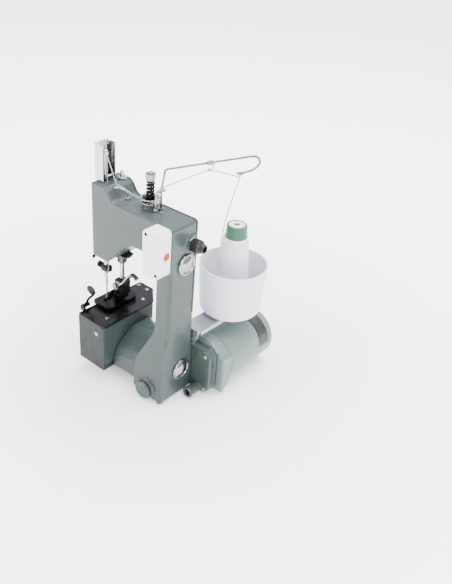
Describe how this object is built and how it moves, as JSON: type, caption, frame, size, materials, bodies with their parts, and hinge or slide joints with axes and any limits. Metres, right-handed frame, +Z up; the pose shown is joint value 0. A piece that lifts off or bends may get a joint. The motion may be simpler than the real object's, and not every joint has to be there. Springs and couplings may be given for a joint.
{
  "type": "bag closer sewing machine",
  "caption": "Portable electric sewing machine that closes filled sacks with a chain stitch, with a side motor and a thread cup.",
  "frame": {"origin": "middle of the outline's underside, on the surface that the machine stands on", "axes": "+X along the arm from the needle to the column, +Y along the feed towards the motor end, +Z up"},
  "size_m": [0.1792, 0.1882, 0.2983],
  "materials": {
    "grey_green_enamel": "semi-gloss cast enamel",
    "motor_enamel": "satin enamel",
    "chrome": "polished",
    "bright_steel": "ground",
    "blackened_steel": "oil-blackened",
    "sheet_metal": "satin sheet",
    "brass": "machined",
    "black_plastic": "fine grain",
    "white_plastic": "moulded",
    "cup_plastic": "moulded, slightly translucent",
    "red_plastic": "moulded",
    "rubber": "matte",
    "yarn": "spun yarn",
    "cone_tube_plastic": "moulded",
    "copper_winding": "varnished winding",
    "nylon": "moulded"
  },
  "bodies": {
    "machine": {"machine_frame": "grey_green_enamel", "rear_cover": "grey_green_enamel", "upper_access_plug": "chrome", "lower_access_plug": "chrome", "front_shaft_cap": "grey_green_enamel", "front_foot": "rubber", "looper_box": "grey_green_enamel", "box_front_cover": "sheet_metal", "bottom_cover": "black_plastic", "throat_plate": "blackened_steel", "needle_bar_guard": "chrome", "needle_bar_lower_bush": "bright_steel", "rocker_shaft": "bright_steel", "main_bearing": "brass", "gear_housing_front": "grey_green_enamel", "gear_housing_rear": "grey_green_enamel", "motor_shell": "motor_enamel", "motor_end_cap": "motor_enamel", "motor_stator": "copper_winding", "motor_support_pad": "rubber", "presser_bar_bush": "blackened_steel", "presser_spring": "bright_steel", "switch_box": "white_plastic", "cable_gland": "black_plastic", "cup_bracket": "sheet_metal", "thread_cup": "cup_plastic", "cone_peg": "bright_steel", "cone_tube": "cone_tube_plastic", "thread_cone": "yarn", "tension_post": "bright_steel", "tension_disc_lower": "chrome", "tension_disc_upper": "chrome", "tension_spring": "blackened_steel", "wire_guide": "chrome", "pin_guide": "bright_steel", "arm_eyelet": "bright_steel", "thread_feed": "yarn", "thread_take_up": "yarn"},
    "main_drive": {"main_shaft": "bright_steel", "main_gear": "nylon"},
    "armature": {"motor_rotor": "bright_steel", "motor_pinion": "bright_steel"},
    "rocker": {"rocker_arm": "bright_steel"},
    "rod": {"connecting_rod": "bright_steel"},
    "needle_drive": {"needle_bar": "chrome", "needle_clamp": "blackened_steel", "needle": "bright_steel", "needle_thread": "yarn"},
    "clamp_screw": {"needle_clamp_screw": "blackened_steel"},
    "presser": {"presser_bar": "chrome", "presser_holder": "blackened_steel", "presser_sole": "blackened_steel"},
    "lifter": {"lifter_lever": "chrome"},
    "looper_unit": {"looper_shaft": "bright_steel", "looper": "bright_steel"},
    "feeder": {"feed_dog": "bright_steel"},
    "cutter": {"cutter_lever": "blackened_steel"},
    "button": {"switch_button": "red_plastic"},
    "tension_knob": {"tension_nut": "chrome"},
    "pressure_knob": {"pressure_adjuster": "chrome"}
  },
  "joints": [
    {"name": "main_shaft_spin", "type": "hinge", "parent": "machine", "child": "main_drive", "pos_m": [0.02635, -0.0289, 0.041], "axis": [0, 1, 0], "continuous": true},
    {"name": "armature_spin", "type": "hinge", "parent": "machine", "child": "armature", "pos_m": [0.05405, 0.0311, 0.037], "axis": [0, 1, 0], "continuous": true},
    {"name": "rocker_swing", "type": "hinge", "parent": "machine", "child": "rocker", "pos_m": [-0.01465, -0.0449, 0.217], "axis": [0, 1, 0], "range_deg": [-20.28, 4.16]},
    {"name": "needle_slide", "type": "slide", "parent": "machine", "child": "needle_drive", "axis": [0, 0, 1], "range_m": [-0.0222, 0.0048], "deforming": ["thread_take_up"]},
    {"name": "rod_slide", "type": "slide", "parent": "machine", "child": "rod", "axis": [0, 0, 1], "range_m": [-0.004, 0.0182]},
    {"name": "looper_swing", "type": "hinge", "parent": "machine", "child": "looper_unit", "pos_m": [-0.03265, -0.0489, 0.05], "axis": [1, 0, 0], "range_deg": [-17, 4]},
    {"name": "feed_slide", "type": "slide", "parent": "machine", "child": "feeder", "axis": [0, 1, 0], "range_m": [-0.0037, 0.0009]},
    {"name": "clamp_screw_turn", "type": "hinge", "parent": "needle_drive", "child": "clamp_screw", "pos_m": [-0.08265, -0.0525, 0.1354], "axis": [1, 0, 0], "range_deg": [0, 360]},
    {"name": "lifter_swing", "type": "hinge", "parent": "presser", "child": "lifter", "pos_m": [-0.06435, -0.0459, 0.111], "axis": [0, 1, 0], "range_deg": [0, 55]},
    {"name": "presser_lift", "type": "slide", "parent": "machine", "child": "presser", "axis": [0, 0, 1], "range_m": [0, 0.008], "deforming": ["presser_spring"]},
    {"name": "cutter_swing", "type": "hinge", "parent": "machine", "child": "cutter", "pos_m": [-0.08685, -0.0769, 0.0856], "axis": [0, 1, 0], "range_deg": [-20, 0]},
    {"name": "button_press", "type": "slide", "parent": "machine", "child": "button", "axis": [-1, 0, 0], "range_m": [0, 0.002], "stiffness_N_per_m": 400},
    {"name": "tension_nut_turn", "type": "hinge", "parent": "machine", "child": "tension_knob", "pos_m": [-0.01065, -0.0439, 0.275], "axis": [0, 0, 1], "range_deg": [-360, 360]},
    {"name": "pressure_adjuster_turn", "type": "hinge", "parent": "machine", "child": "pressure_knob", "pos_m": [-0.06435, -0.0359, 0.258], "axis": [0, 0, 1], "range_deg": [-360, 360]}
  ],
  "couplings": [
    {"joint": "armature_spin", "follows": "main_shaft_spin", "ratio": -3},
    {"joint": "needle_slide", "follows": "rocker_swing", "m_per_rad": 0.061},
    {"joint": "rod_slide", "follows": "rocker_swing", "m_per_rad": -0.0502},
    {"joint": "looper_swing", "follows": "rocker_swing", "ratio": 0.8},
    {"joint": "feed_slide", "follows": "rocker_swing", "m_per_rad": 0.01},
    {"joint": "lifter_swing", "follows": "presser_lift", "rad_per_m": 119.99}
  ]
}
